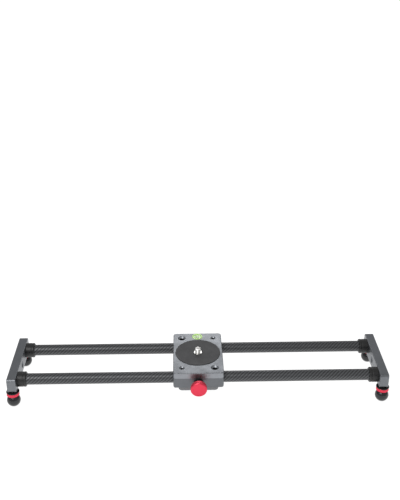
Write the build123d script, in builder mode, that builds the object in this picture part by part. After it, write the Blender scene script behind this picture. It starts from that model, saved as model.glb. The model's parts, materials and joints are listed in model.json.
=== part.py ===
from build123d import *
import math
import os

# Camera slider: a carriage with a camera stud rolls on two carbon tubes between two end plates
# that stand on ball feet.
# Millimetres. +X along the tubes, +Y to the rear (the lock knob is at the front), +Z up.
# Origin: the centre of the camera pad's top face, with the carriage at mid travel.

# Rails and end plates
rail_length = 600.0  # over the outer faces of the end plates
plate_thickness = 14.0
plate_depth = 124.0
plate_height = 25.0
plate_corner = 4.5
plate_edge = 0.6
tube_diameter = 18.0
tube_wall = 1.5
tube_spacing = 82.0  # between the two tube axes
socket_web = 0.5  # between a tube's socket and a foot's thread
collar_diameter = 24.0
collar_length = 14.0
collar_edge = 1.0
plug_length = 18.0

# Carriage
carriage_length = 80.0
carriage_depth = 116.0
carriage_corner = 5.0
carriage_round = 1.2
slab_above_tubes = 18.5  # from the tube axes to the top face of the carriage
fascia_height = 10.0  # light band round the front and rear edges
fascia_step = 0.6
skirt_taper = 1.6
skirt_inner_gap = 2.5  # from a tube's outer side to the skirt's inner face
skirt_corner = 4.0
skirt_below_axis = 10.0
tube_top_gap = 0.6
frame_length = 63.5
frame_depth = 100.0
frame_height = 10.9
frame_wall = 3.0
frame_corner = 6.0
frame_round = 2.0
frame_gap = 0.8  # below the tubes

# Camera pad, stud and spirit level
pad_diameter = 72.8
pad_thickness = 2.0
pad_stand = 0.9  # the pad stands this far out of the slab
stud_diameter = 9.525  # 3/8 inch
stud_height = 7.5
stud_chamfer = 0.8
stud_slot_width = 1.6
stud_slot_depth = 1.8
shank_diameter = 8.0
shank_past_nut = 1.0
stud_collar_diameter = 12.6
stud_collar_drop = 0.1  # the collar's top lies this far below the pad's
stud_collar_chamfer = 0.3
level_diameter = 16.8
level_depth = 5.5
level_stand = 0.6
level_wall = 1.2
level_lens = 1.7
level_offset = 47.5

# Accessory holes in the slab, at the tapping diameters of their threads
hole_3_8_diameter = 7.94
hole_1_4_diameter = 5.1
sink_3_8_diameter = 13.0
sink_1_4_diameter = 8.8
sink_plate_diameter = 12.0
hole_pitch_x = 52.0
hole_pitch_y = 86.0

# Rollers
roller_diameter = 24.0
roller_height = 18.0
roller_pitch_x = 38.0
roller_root_radius = 7.15
roller_bore = 11.0
groove_gap = 0.35
bearing_outer = 13.0
bearing_inner = 5.0
bearing_width = 4.0
ball_diameter = 2.0
ball_count = 8
race_thickness = 1.4
bolt_head_diameter = 9.5
bolt_head_height = 2.6
bolt_grip = 5.5  # thread inside the slab
sleeve_diameter = 7.0
shim_diameter = 7.2

# Brake
knob_diameter = 25.7
knob_length = 8.5
knob_gap = 1.5  # between the bush's flange and the knob's hub, with the brake off
knob_round = 1.5
hub_diameter = 13.0
hub_length = 2.0
screw_diameter = 6.0
shoe_length = 30.0
shoe_height = 14.0
shoe_thickness = 1.5
lining_thickness = 1.0
lining_gap = 1.0
shoe_back_gap = 0.4
tip_depth = 0.8
bush_diameter = 9.0
bush_flange_diameter = 14.0
bush_flange = 8.0
boss_diameter = 17.6

# Feet
stud_foot_diameter = 8.0
foot_stud_in_plate = 17.0
foot_stud_in_ball = 13.5
foot_travel = 10.0
washer_diameter = 20.6
washer_thickness = 1.5
ring_diameter = 20.0
ring_height = 5.5
ring_ball_gap = 0.6
foot_ball_diameter = 21.8
foot_cap = 2.1  # cut off the ball's top
foot_flat = 0.4

# Clearances
running = 0.05  # radial, between turning or sliding pairs
seat = 0.02  # radial, between bonded or pressed pairs
loose = 0.3  # radial, round bolts in plain holes
tube_screw_diameter = 6.0
tube_screw_length = 25.0
tube_screw_head = 12.0
nut_across_flats = 13.0
nut_height = 5.0
nut_washer_diameter = 16.0
nut_washer_thickness = 1.2

# Levels and places that follow from the sizes
tube_radius = tube_diameter / 2
tube_y = tube_spacing / 2
slab_top = -pad_stand
tube_z = slab_top - slab_above_tubes
socket_depth = (plate_thickness - stud_foot_diameter) / 2 - socket_web
slab_under = tube_z + tube_radius + tube_top_gap
pad_floor = -pad_thickness
skirt_inner = tube_y + tube_radius + skirt_inner_gap
skirt_outer = carriage_depth / 2 - fascia_step
skirt_low = tube_z - skirt_below_axis
fascia_low = slab_top - fascia_height
plate_inner_x = rail_length / 2 - plate_thickness
plate_low = tube_z - plate_height / 2
tube_end_x = plate_inner_x + socket_depth
foot_x = rail_length / 2 - plate_thickness / 2
foot_y = plate_depth / 2 - plate_thickness / 2
ring_top = plate_low - washer_thickness
ball_top = ring_top - ring_height - ring_ball_gap
ball_z = ball_top + foot_cap - foot_ball_diameter / 2
frame_top = tube_z - tube_radius - frame_gap
frame_low = frame_top - frame_height
frame_floor = frame_low + frame_wall
roller_x = roller_pitch_x / 2
groove_radius = tube_radius + groove_gap
groove_centre = roller_root_radius + groove_radius  # from a roller's axis to its tube's axis
roller_y = tube_y - groove_centre
roller_pitch_y = 2 * roller_y
bearing_z = (roller_height - bearing_width) / 2
lining_y = tube_y + tube_radius + lining_gap
shoe_back = lining_y + lining_thickness + shoe_thickness
pocket_back = shoe_back + shoe_back_gap
screw_tip = shoe_back - tip_depth
knob_back = skirt_outer + bush_flange + knob_gap + hub_length

CORNERS = {
    "front_left": (-1, -1),
    "front_right": (1, -1),
    "rear_left": (-1, 1),
    "rear_right": (1, 1),
}

os.makedirs("parts", exist_ok=True)


def save(builder, node):
    """Label a finished piece and write it to its own file."""
    builder.part.label = node
    export_step(builder.part, f"parts/{node}.step")


def upright(x, y, z):
    """A vertical drawing plane through a vertical axis: its x runs outward, its y runs up."""
    return Plane(origin=(x, y, z), x_dir=(1, 0, 0), z_dir=(0, -1, 0))


def fore_aft(y):
    """A plane across the Y axis, with its x along X and its y up, that faces the front."""
    return Plane(origin=(0, -y, tube_z), x_dir=(1, 0, 0), z_dir=(0, -1, 0))


def ring_profile(inner_radius, outer_radius, low, high):
    """Half of a ring's section, for a revolve about the drawing plane's y axis."""
    with Locations(((inner_radius + outer_radius) / 2, (low + high) / 2)):
        Rectangle(outer_radius - inner_radius, high - low)


def end_plate(side):
    """End plate: two tube sockets, two foot threads and a tapped hole in the middle."""
    inner_face = Plane.YZ.offset(side * plate_inner_x)
    screw_places = [(side * rail_length / 2, y, tube_z) for y in (-tube_y, tube_y)]
    with BuildPart() as plate:
        with BuildSketch(inner_face):
            with Locations((0, tube_z)):
                RectangleRounded(plate_depth, plate_height, plate_corner)
        extrude(amount=side * plate_thickness)
        chamfer(plate.faces().filter_by(Axis.X).edges(), plate_edge)
        with BuildSketch(inner_face):
            with Locations((-tube_y, tube_z), (tube_y, tube_z)):
                Circle(tube_radius + running)
        extrude(amount=side * socket_depth, mode=Mode.SUBTRACT)
        with Locations(*[Plane(origin=place, z_dir=(side, 0, 0)) for place in screw_places]):
            CounterSinkHole(tube_screw_diameter / 2 + loose, tube_screw_head / 2 + loose, plate_thickness, 90)
        with Locations(Plane(origin=(side * plate_inner_x, 0, tube_z), z_dir=(-side, 0, 0))):
            CounterSinkHole(hole_3_8_diameter / 2, sink_plate_diameter / 2, plate_thickness, 90)
        with BuildSketch(Plane.XY.offset(plate_low)):
            with Locations((side * foot_x, -foot_y), (side * foot_x, foot_y)):
                Circle(stud_foot_diameter / 2 + running)
        extrude(amount=foot_stud_in_plate + 2 * loose, mode=Mode.SUBTRACT)
    return plate


def carbon_tube(y):
    """Carbon fibre tube, seated in both end plates."""
    with BuildPart() as tube:
        with BuildSketch(Plane.YZ.offset(-tube_end_x)):
            with Locations((y, tube_z)):
                Circle(tube_radius)
                Circle(tube_radius - tube_wall, mode=Mode.SUBTRACT)
        extrude(amount=2 * tube_end_x)
    return tube


def tube_collar(side, y):
    """Black bumper collar round a tube's end, against the end plate: the carriage's stop."""
    with BuildPart() as collar:
        with BuildSketch(Plane.YZ.offset(side * plate_inner_x)):
            with Locations((y, tube_z)):
                Circle(collar_diameter / 2)
                Circle(tube_radius + seat, mode=Mode.SUBTRACT)
        extrude(amount=-side * collar_length)
        stop_face = collar.faces().filter_by(Axis.X).sort_by(Axis.X)[0 if side > 0 else -1]
        chamfer(stop_face.outer_wire().edges(), collar_edge)
    return collar


def tube_plugs():
    """Four tapped aluminium plugs, bonded in the tubes' ends."""
    with BuildPart() as plugs:
        for side, row in CORNERS.values():
            with BuildSketch(Plane.YZ.offset(side * tube_end_x)):
                with Locations((row * tube_y, tube_z)):
                    Circle(tube_radius - tube_wall - seat)
                    Circle(tube_screw_diameter / 2, mode=Mode.SUBTRACT)
            extrude(amount=-side * plug_length)
    return plugs


def tube_screws():
    """Four countersunk hex socket screws that pull the end plates onto the tubes."""
    shank = tube_screw_diameter / 2 - running
    head = tube_screw_head / 2
    with BuildPart() as screws:
        for side, row in CORNERS.values():
            outer = Plane(origin=(side * rail_length / 2, row * tube_y, tube_z), z_dir=(side, 0, 0))
            with BuildSketch(outer):
                Circle(shank)
            extrude(amount=-tube_screw_length)
            with BuildSketch(outer):
                Circle(head)
            extrude(amount=-(head - shank), taper=45)
            with BuildSketch(outer):
                RegularPolygon(head / 3, 6)
            extrude(amount=-(head - shank) * 0.8, mode=Mode.SUBTRACT)
    return screws


def foot_washers():
    """Four black rubber washers between the end plates and the lock rings."""
    with BuildPart() as washers:
        for side, row in CORNERS.values():
            with BuildSketch(Plane.XY.offset(plate_low)):
                with Locations((side * foot_x, row * foot_y)):
                    Circle(washer_diameter / 2)
                    Circle(stud_foot_diameter / 2 + running, mode=Mode.SUBTRACT)
            extrude(amount=-washer_thickness)
    return washers


def lock_ring(side, row):
    """Knurled lock ring on a foot's stud, tight against the washer."""
    with BuildPart() as ring:
        with BuildSketch(Plane.XY.offset(ring_top)):
            with Locations((side * foot_x, row * foot_y)):
                Circle(ring_diameter / 2)
                Circle(stud_foot_diameter / 2 + running, mode=Mode.SUBTRACT)
        extrude(amount=-ring_height)
        low_face = ring.faces().filter_by(Axis.Z).sort_by(Axis.Z)[0]
        chamfer(low_face.outer_wire().edges(), plate_edge)
    return ring


def foot_stud(side, row):
    """Threaded steel stud of a foot."""
    with BuildPart() as stud:
        with BuildSketch(Plane.XY.offset(ball_top - foot_stud_in_ball)):
            with Locations((side * foot_x, row * foot_y)):
                Circle(stud_foot_diameter / 2)
        extrude(amount=plate_low + foot_stud_in_plate - (ball_top - foot_stud_in_ball))
        chamfer(stud.faces().filter_by(Axis.Z).edges(), plate_edge)
    return stud


def foot_ball(side, row):
    """Glossy rubber ball foot, flat on top and a little flat underneath."""
    axis_plane = upright(side * foot_x, row * foot_y, ball_z)
    radius = foot_ball_diameter / 2
    top = ball_top - ball_z
    with BuildPart() as ball:
        with BuildSketch(axis_plane):
            with Locations((0, 0)):
                Circle(radius)
            with Locations((-radius, 0)):
                Rectangle(2 * radius, 2 * radius, mode=Mode.SUBTRACT)
            with Locations((radius, -radius)):
                Rectangle(2 * radius, 2 * foot_flat, mode=Mode.SUBTRACT)
            with Locations((radius, radius)):
                Rectangle(2 * radius, 2 * foot_cap, mode=Mode.SUBTRACT)
            with Locations((0, top)):
                Rectangle(
                    stud_foot_diameter + 2 * running,
                    2 * (foot_stud_in_ball + running),
                    mode=Mode.SUBTRACT,
                )
        revolve(axis=Axis((side * foot_x, row * foot_y, ball_z), (0, 0, 1)))
    return ball


def carriage_body():
    """Aluminium carriage: a slab with a skirt outside each tube and all its holes."""
    half_depth = carriage_depth / 2
    skirt_foot = skirt_outer - skirt_taper
    edge_points = [
        (half_depth, slab_top),
        (half_depth, fascia_low),
        (skirt_outer, fascia_low),
        (skirt_foot, skirt_low),
        (skirt_inner, skirt_low),
        (skirt_inner, slab_under),
    ]
    section = edge_points + [(-y, z) for y, z in reversed(edge_points)]
    height = slab_top - skirt_low
    with BuildPart() as body:
        with BuildSketch(Plane.YZ.offset(-carriage_length / 2)):
            with BuildLine():
                Polyline(*section, close=True)
            make_face()
        extrude(amount=carriage_length)
        with BuildSketch(fore_aft(skirt_outer)):
            Circle(boss_diameter / 2)
        extrude(amount=-(skirt_outer - skirt_inner))
        with BuildSketch(Plane.XY.offset(skirt_low)):
            RectangleRounded(carriage_length, carriage_depth, carriage_corner)
        extrude(amount=height, mode=Mode.INTERSECT)
        with BuildSketch(upright(0, half_depth, slab_top - height / 2)):
            Rectangle(carriage_length, height)
            fillet(vertices().group_by(Axis.Y)[0], skirt_corner)
        extrude(amount=carriage_depth, mode=Mode.INTERSECT)
        fillet(body.faces().sort_by(Axis.Z)[-1].edges(), carriage_round)
        # Recess of the camera pad, pocket of the level and hole of the camera stud
        with BuildSketch(Plane.XY.offset(slab_top)):
            Circle(pad_diameter / 2 + running)
        extrude(amount=pad_floor - slab_top, mode=Mode.SUBTRACT)
        with BuildSketch(Plane.XY.offset(slab_top)):
            with Locations((0, level_offset)):
                Circle(level_diameter / 2 + running)
        extrude(amount=-level_depth, mode=Mode.SUBTRACT)
        with BuildSketch(Plane.XY.offset(slab_under)):
            Circle(shank_diameter / 2 + loose)
        extrude(amount=pad_floor - slab_under, mode=Mode.SUBTRACT)
        # Accessory threads: 3/8 inch at rear left and front right, 1/4 inch at the others
        across, along = hole_pitch_x / 2, hole_pitch_y / 2
        slab_thickness = slab_top - slab_under
        with Locations((-across, along, slab_top), (across, -along, slab_top)):
            CounterSinkHole(hole_3_8_diameter / 2, sink_3_8_diameter / 2, slab_thickness, 90)
        with Locations((across, along, slab_top), (-across, -along, slab_top)):
            CounterSinkHole(hole_1_4_diameter / 2, sink_1_4_diameter / 2, slab_thickness, 90)
        # Blind threads of the roller bolts
        with BuildSketch(Plane.XY.offset(slab_under)):
            with GridLocations(roller_pitch_x, roller_pitch_y, 2, 2):
                Circle(bearing_inner / 2)
        extrude(amount=bolt_grip + running, mode=Mode.SUBTRACT)
        # Pocket of the brake shoe and hole of the brake bush, in the front skirt
        with BuildSketch(fore_aft(skirt_inner)):
            Rectangle(shoe_length + 2 * loose, shoe_height + 2 * loose)
        extrude(amount=pocket_back - skirt_inner, mode=Mode.SUBTRACT)
        with BuildSketch(fore_aft(skirt_inner)):
            Circle(bush_diameter / 2 + seat)
        extrude(amount=skirt_outer - skirt_inner, mode=Mode.SUBTRACT)
    return body


def lower_frame():
    """Tray under the rollers, held by the roller bolts."""
    with BuildPart() as tray:
        with BuildSketch(Plane.XY.offset(frame_low)):
            RectangleRounded(frame_length, frame_depth, frame_corner)
        extrude(amount=frame_height)
        fillet(tray.faces().sort_by(Axis.Z)[0].edges(), frame_round)
        with BuildSketch(Plane.XY.offset(frame_floor)):
            RectangleRounded(
                frame_length - 2 * frame_wall,
                frame_depth - 2 * frame_wall,
                frame_corner - frame_wall,
            )
        extrude(amount=frame_height, mode=Mode.SUBTRACT)
        with BuildSketch(Plane.XY.offset(frame_low)):
            with GridLocations(roller_pitch_x, roller_pitch_y, 2, 2):
                Circle(bearing_inner / 2 + loose)
        extrude(amount=frame_wall, mode=Mode.SUBTRACT)
    return tray


def camera_pad():
    """Round rubber pad that the camera or ball head stands on."""
    with BuildPart() as pad:
        with BuildSketch(Plane.XY):
            Circle(pad_diameter / 2)
            Circle(stud_collar_diameter / 2 + running, mode=Mode.SUBTRACT)
        extrude(amount=-pad_thickness)
    return pad


def screw_collar():
    """Bright collar under the camera stud's shoulder, just below the pad's top."""
    with BuildPart() as collar:
        with BuildSketch(Plane.XY.offset(pad_floor)):
            Circle(stud_collar_diameter / 2)
            Circle(shank_diameter / 2 + running, mode=Mode.SUBTRACT)
        extrude(amount=-stud_collar_drop - pad_floor)
        chamfer(collar.faces().sort_by(Axis.Z)[-1].outer_wire().edges(), stud_collar_chamfer)
    return collar


def camera_screw():
    """Camera stud: 3/8 inch above its shoulder, slotted, with a thinner shank down to the nut."""
    shank_low = slab_under - nut_washer_thickness - nut_height - shank_past_nut
    shoulder = -stud_collar_drop
    with BuildPart() as screw:
        with BuildSketch(Plane.XY.offset(shoulder)):
            Circle(stud_diameter / 2)
        extrude(amount=stud_height - shoulder)
        chamfer(screw.faces().sort_by(Axis.Z)[-1].edges(), stud_chamfer)
        with BuildSketch(Plane.XY.offset(shank_low)):
            Circle(shank_diameter / 2)
        extrude(amount=shoulder - shank_low)
        with BuildSketch(Plane.XY.offset(stud_height)):
            Rectangle(stud_slot_width, 2 * stud_diameter)
        extrude(amount=-stud_slot_depth, mode=Mode.SUBTRACT)
    return screw


def screw_washer():
    """Washer between the slab and the camera stud's nut."""
    with BuildPart() as washer:
        with BuildSketch(Plane.XY.offset(slab_under)):
            Circle(nut_washer_diameter / 2)
            Circle(shank_diameter / 2 + loose, mode=Mode.SUBTRACT)
        extrude(amount=-nut_washer_thickness)
    return washer


def screw_nut():
    """Hexagon nut that holds the camera stud."""
    with BuildPart() as nut:
        with BuildSketch(Plane.XY.offset(slab_under - nut_washer_thickness)):
            RegularPolygon(nut_across_flats / 2, 6, major_radius=False)
            Circle(shank_diameter / 2 + running, mode=Mode.SUBTRACT)
        extrude(amount=-nut_height)
    return nut


def level_housing():
    """Clear cup of the spirit level, set in the slab's rear edge."""
    cup_low = slab_top - level_depth
    cup_top = slab_top + level_stand
    with BuildPart() as cup:
        with BuildSketch(Plane.XY.offset(cup_low)):
            with Locations((0, level_offset)):
                Circle(level_diameter / 2)
        extrude(amount=cup_top - cup_low)
        with BuildSketch(Plane.XY.offset(cup_low + level_wall)):
            with Locations((0, level_offset)):
                Circle(level_diameter / 2 - level_wall)
        extrude(amount=cup_top - cup_low, mode=Mode.SUBTRACT)
        fillet(cup.faces().sort_by(Axis.Z)[-1].outer_wire().edges(), level_stand / 2)
    return cup


def level_disc(low, high):
    """A disc inside the level's cup, from one height to another."""
    with BuildPart() as disc:
        with BuildSketch(Plane.XY.offset(low)):
            with Locations((0, level_offset)):
                Circle(level_diameter / 2 - level_wall - seat)
        extrude(amount=high - low)
    return disc


def roller(side, row):
    """Nylon roller with a round groove that runs on the tube, bored for two bearings."""
    bore = roller_bore / 2
    with BuildPart() as wheel:
        with BuildSketch(upright(side * roller_x, row * roller_y, tube_z)):
            ring_profile(bore, roller_diameter / 2, -roller_height / 2, roller_height / 2)
            with Locations((groove_centre, 0)):
                Circle(groove_radius, mode=Mode.SUBTRACT)
            with Locations((bore, -bearing_z), (bore, bearing_z)):
                Rectangle(bearing_outer + 2 * seat - 2 * bore, bearing_width, mode=Mode.SUBTRACT)
        revolve(axis=Axis((side * roller_x, row * roller_y, tube_z), (0, 0, 1)))
    return wheel


def bearing_rings(inner_radius, outer_radius, places):
    """Bearing rings with a ball groove, two to each roller."""
    ball_circle = (bearing_inner + bearing_outer) / 4
    with BuildPart() as rings:
        for side, row in places:
            with BuildSketch(upright(side * roller_x, row * roller_y, tube_z)):
                for z in (-bearing_z, bearing_z):
                    ring_profile(inner_radius, outer_radius, z - bearing_width / 2, z + bearing_width / 2)
                with Locations((ball_circle, -bearing_z), (ball_circle, bearing_z)):
                    Circle(ball_diameter / 2 + running, mode=Mode.SUBTRACT)
            revolve(axis=Axis((side * roller_x, row * roller_y, tube_z), (0, 0, 1)))
    return rings


def bearing_balls(side, row):
    """The balls of one roller's two bearings."""
    ball_circle = (bearing_inner + bearing_outer) / 4
    with BuildPart() as balls:
        for z in (-bearing_z, bearing_z):
            with Locations((side * roller_x, row * roller_y, tube_z + z)):
                with PolarLocations(ball_circle, ball_count):
                    Sphere(ball_diameter / 2)
    return balls


def roller_rings(outer_diameter, low, high):
    """Four rings round the roller bolts, from one height to another."""
    with BuildPart() as rings:
        with BuildSketch(Plane.XY.offset(low)):
            with GridLocations(roller_pitch_x, roller_pitch_y, 2, 2):
                Circle(outer_diameter / 2)
                Circle(bearing_inner / 2, mode=Mode.SUBTRACT)
        extrude(amount=high - low)
    return rings


def roller_bolts():
    """Four button head bolts, up through the tray and the bearings into the slab."""
    with BuildPart() as bolts:
        with BuildSketch(Plane.XY.offset(frame_low)):
            with GridLocations(roller_pitch_x, roller_pitch_y, 2, 2):
                Circle(bearing_inner / 2 - running)
        extrude(amount=slab_under + bolt_grip - frame_low)
        with BuildSketch(Plane.XY.offset(frame_low)):
            with GridLocations(roller_pitch_x, roller_pitch_y, 2, 2):
                Circle(bolt_head_diameter / 2)
        extrude(amount=-bolt_head_height)
        fillet(bolts.faces().group_by(Axis.Z)[0].edges(), bolt_head_height * 0.6)
        with BuildSketch(Plane.XY.offset(frame_low - bolt_head_height)):
            with GridLocations(roller_pitch_x, roller_pitch_y, 2, 2):
                RegularPolygon(bearing_inner / 3, 6)
        extrude(amount=bolt_head_height * 0.6, mode=Mode.SUBTRACT)
    return bolts


def brake_lining():
    """Curved lining that rubs on the front tube."""
    with BuildPart() as lining:
        with BuildSketch(Plane.YZ.offset(-shoe_length / 2)):
            with Locations((-tube_y, tube_z)):
                Circle(tube_radius + lining_gap + lining_thickness)
                Circle(tube_radius + lining_gap, mode=Mode.SUBTRACT)
            with Locations((-lining_y, tube_z)):
                Rectangle(tube_radius, shoe_height, mode=Mode.INTERSECT)
        extrude(amount=shoe_length)
    return lining


def brake_shoe():
    """Brake shoe: hollowed for the lining in front, with a blind seat for the screw's tip."""
    with BuildPart() as shoe:
        with BuildSketch(Plane.YZ.offset(-shoe_length / 2)):
            with Locations((-shoe_back, tube_z)):
                Rectangle(tube_radius / 2, shoe_height, align=(Align.MIN, Align.CENTER))
            with Locations((-tube_y, tube_z)):
                Circle(tube_radius + lining_gap + lining_thickness, mode=Mode.SUBTRACT)
        extrude(amount=shoe_length)
        with BuildSketch(fore_aft(shoe_back)):
            Circle(screw_diameter / 2 + running)
        extrude(amount=-tip_depth, mode=Mode.SUBTRACT)
    return shoe


def brake_bush():
    """Threaded bush of the brake screw, pressed in the front skirt."""
    with BuildPart() as bush:
        with BuildSketch(fore_aft(pocket_back)):
            Circle(bush_diameter / 2)
        extrude(amount=skirt_outer - pocket_back)
        with BuildSketch(fore_aft(skirt_outer)):
            Circle(bush_flange_diameter / 2)
        extrude(amount=bush_flange)
        with BuildSketch(fore_aft(pocket_back)):
            Circle(screw_diameter / 2)
        extrude(amount=skirt_outer + bush_flange - pocket_back, mode=Mode.SUBTRACT)
    return bush


def brake_screw():
    """Brake screw, bonded in the knob."""
    with BuildPart() as screw:
        with BuildSketch(fore_aft(screw_tip)):
            Circle(screw_diameter / 2 - running)
        extrude(amount=knob_back + knob_length * 0.6 - screw_tip)
    return screw


def lock_knob():
    """Round lock knob on a short hub, with a blind bore for the brake screw."""
    with BuildPart() as knob:
        with BuildSketch(fore_aft(knob_back)):
            Circle(knob_diameter / 2)
        extrude(amount=knob_length)
        fillet(knob.faces().filter_by(Axis.Y).edges(), knob_round)
        with BuildSketch(fore_aft(knob_back - hub_length)):
            Circle(hub_diameter / 2)
        extrude(amount=hub_length)
        with BuildSketch(fore_aft(knob_back - hub_length)):
            Circle(screw_diameter / 2)
        extrude(amount=hub_length + knob_length * 0.6 + running, mode=Mode.SUBTRACT)
    return knob


# Rail frame
save(end_plate(-1), "end_plate_left")
save(end_plate(1), "end_plate_right")
save(carbon_tube(-tube_y), "carbon_tube_front")
save(carbon_tube(tube_y), "carbon_tube_rear")
save(tube_plugs(), "tube_plugs")
save(tube_screws(), "tube_screws")
save(foot_washers(), "foot_washers")
for name, (side, row) in CORNERS.items():
    save(tube_collar(side, row * tube_y), f"tube_collar_{name}")
    save(lock_ring(side, row), f"lock_ring_{name}")
    save(foot_stud(side, row), f"foot_stud_{name}")
    save(foot_ball(side, row), f"foot_ball_{name}")

# Carriage
save(carriage_body(), "carriage_body")
save(lower_frame(), "lower_frame")
save(camera_pad(), "camera_pad")
save(screw_collar(), "screw_collar")
save(camera_screw(), "camera_screw")
save(screw_washer(), "screw_washer")
save(screw_nut(), "screw_nut")
save(level_housing(), "level_housing")
liquid_top = slab_top + level_stand / 2 - level_lens
save(level_disc(slab_top - level_depth + level_wall, liquid_top), "level_liquid")
save(level_disc(liquid_top, liquid_top + level_lens), "level_lens")

# Rollers and their bearings
outer_radius = bearing_outer / 2
inner_radius = bearing_inner / 2
for name, (side, row) in CORNERS.items():
    save(roller(side, row), f"roller_{name}")
    outer = bearing_rings(outer_radius - race_thickness, outer_radius, [(side, row)])
    save(outer, f"bearing_outer_races_{name}")
    save(bearing_balls(side, row), f"bearing_balls_{name}")
inner = bearing_rings(inner_radius, inner_radius + race_thickness, list(CORNERS.values()))
save(inner, "bearing_inner_races")
roller_low = tube_z - roller_height / 2
roller_high = tube_z + roller_height / 2
save(roller_rings(sleeve_diameter, roller_low + bearing_width, roller_high - bearing_width), "roller_sleeves")
save(roller_rings(shim_diameter, frame_floor, roller_low), "roller_spacers")
save(roller_rings(shim_diameter, roller_high, slab_under), "roller_shims")
save(roller_bolts(), "roller_bolts")

# Brake
save(brake_lining(), "brake_lining")
save(brake_shoe(), "brake_shoe")
save(brake_bush(), "brake_bush")
save(brake_screw(), "brake_screw")
save(lock_knob(), "lock_knob")
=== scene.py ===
import json
import math

import bpy
import numpy as np
from bpy.props import FloatProperty, FloatVectorProperty, IntProperty, PointerProperty
from mathutils import Matrix, Vector


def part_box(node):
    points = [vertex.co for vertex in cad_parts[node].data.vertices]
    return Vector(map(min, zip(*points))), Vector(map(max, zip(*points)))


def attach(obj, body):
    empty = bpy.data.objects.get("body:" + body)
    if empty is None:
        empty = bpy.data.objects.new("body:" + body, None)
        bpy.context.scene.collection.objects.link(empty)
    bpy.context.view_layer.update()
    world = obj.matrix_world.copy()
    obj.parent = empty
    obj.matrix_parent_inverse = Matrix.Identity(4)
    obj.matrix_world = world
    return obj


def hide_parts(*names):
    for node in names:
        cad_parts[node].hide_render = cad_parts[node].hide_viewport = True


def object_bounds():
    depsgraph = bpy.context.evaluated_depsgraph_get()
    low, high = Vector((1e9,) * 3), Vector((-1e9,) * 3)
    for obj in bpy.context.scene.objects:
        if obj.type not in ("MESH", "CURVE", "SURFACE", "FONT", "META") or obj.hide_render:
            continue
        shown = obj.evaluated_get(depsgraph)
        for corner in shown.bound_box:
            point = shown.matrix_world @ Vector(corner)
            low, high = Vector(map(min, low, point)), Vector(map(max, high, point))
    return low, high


bl_info = {
    "name": "Camera Slider Looks",
    "version": (1, 0, 0),
    "blender": (4, 5, 0),
    "location": "View3D > Sidebar > Slider",
    "description": "Builds the visible pieces and finishes of a camera slider round its packed frame",
    "category": "Object",
}

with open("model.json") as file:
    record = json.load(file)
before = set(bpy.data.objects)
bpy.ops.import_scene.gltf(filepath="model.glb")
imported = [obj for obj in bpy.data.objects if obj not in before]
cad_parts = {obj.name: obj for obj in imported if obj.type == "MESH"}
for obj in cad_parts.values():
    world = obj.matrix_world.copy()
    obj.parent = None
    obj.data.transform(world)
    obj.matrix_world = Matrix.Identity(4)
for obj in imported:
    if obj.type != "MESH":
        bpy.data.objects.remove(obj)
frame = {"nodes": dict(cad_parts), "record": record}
CAD_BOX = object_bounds()

MM = 0.001
TURN = 2 * math.pi
SHANK_RADIUS = 4 * MM
# Gap in millimetres between a bore and what stands in it
CLEARANCE = 0.05
FINISH_PREFIX = "slider_"
CORNERS = ("front_left", "front_right", "rear_left", "rear_right")
UP = Vector((0, 0, 1))
FORWARD = Vector((0, -1, 0))
ALONG = Vector((1, 0, 0))


# ---- Properties ----


class SliderDetail(bpy.types.PropertyGroup):
    """Sizes of the detail that the frame leaves to the looks."""

    knurl_depth: FloatProperty(
        name="Knurl depth", description="Depth of the knob's flutes", default=0.35 * MM, unit="LENGTH"
    )
    knob_flutes: IntProperty(name="Knob flutes", description="Flutes round the lock knob", default=54)
    ring_flutes: IntProperty(name="Ring flutes", description="Flutes round each lock ring", default=40)
    stud_pitch: FloatProperty(
        name="Camera stud pitch",
        description="Thread pitch of 3/8 inch screws",
        default=1.5875 * MM, unit="LENGTH",
    )
    small_pitch: FloatProperty(
        name="Small thread pitch",
        description="Thread pitch of 1/4 inch screws",
        default=1.27 * MM, unit="LENGTH",
    )
    foot_pitch: FloatProperty(
        name="Foot thread pitch",
        description="Thread pitch of the feet's studs",
        default=1.25 * MM, unit="LENGTH",
    )
    tows_round: IntProperty(
        name="Tows round a tube", description="Carbon tows round a tube, in fours", default=40, min=4, step=4
    )
    diamond_pitch: FloatProperty(
        name="Pad diamond pitch", description="Spacing of the pad's diamonds", default=2.4 * MM, unit="LENGTH"
    )
    diamond_depth: FloatProperty(
        name="Pad diamond depth", description="Relief of the pad's diamonds", default=0.14 * MM, unit="LENGTH"
    )


class SliderColours(bpy.types.PropertyGroup):
    """Base colours of the slider's finishes."""

    grey: FloatVectorProperty(
        name="Anodised grey",
        description="Plates and carriage",
        default=(0.188, 0.197, 0.211), subtype="COLOR",
    )
    red: FloatVectorProperty(
        name="Anodised red", description="Knob and lock rings", default=(0.760, 0.038, 0.080), subtype="COLOR"
    )
    carbon: FloatVectorProperty(
        name="Carbon", description="Carbon tows under resin", default=(0.052, 0.054, 0.058), subtype="COLOR"
    )
    black: FloatVectorProperty(
        name="Black nylon", description="Collars and washers", default=(0.009, 0.009, 0.0095), subtype="COLOR"
    )
    rubber: FloatVectorProperty(
        name="Pad rubber", description="Camera pad", default=(0.058, 0.058, 0.061), subtype="COLOR"
    )
    fluid: FloatVectorProperty(
        name="Level fluid", description="Spirit level's fluid", default=(0.560, 0.860, 0.260), subtype="COLOR"
    )


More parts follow.
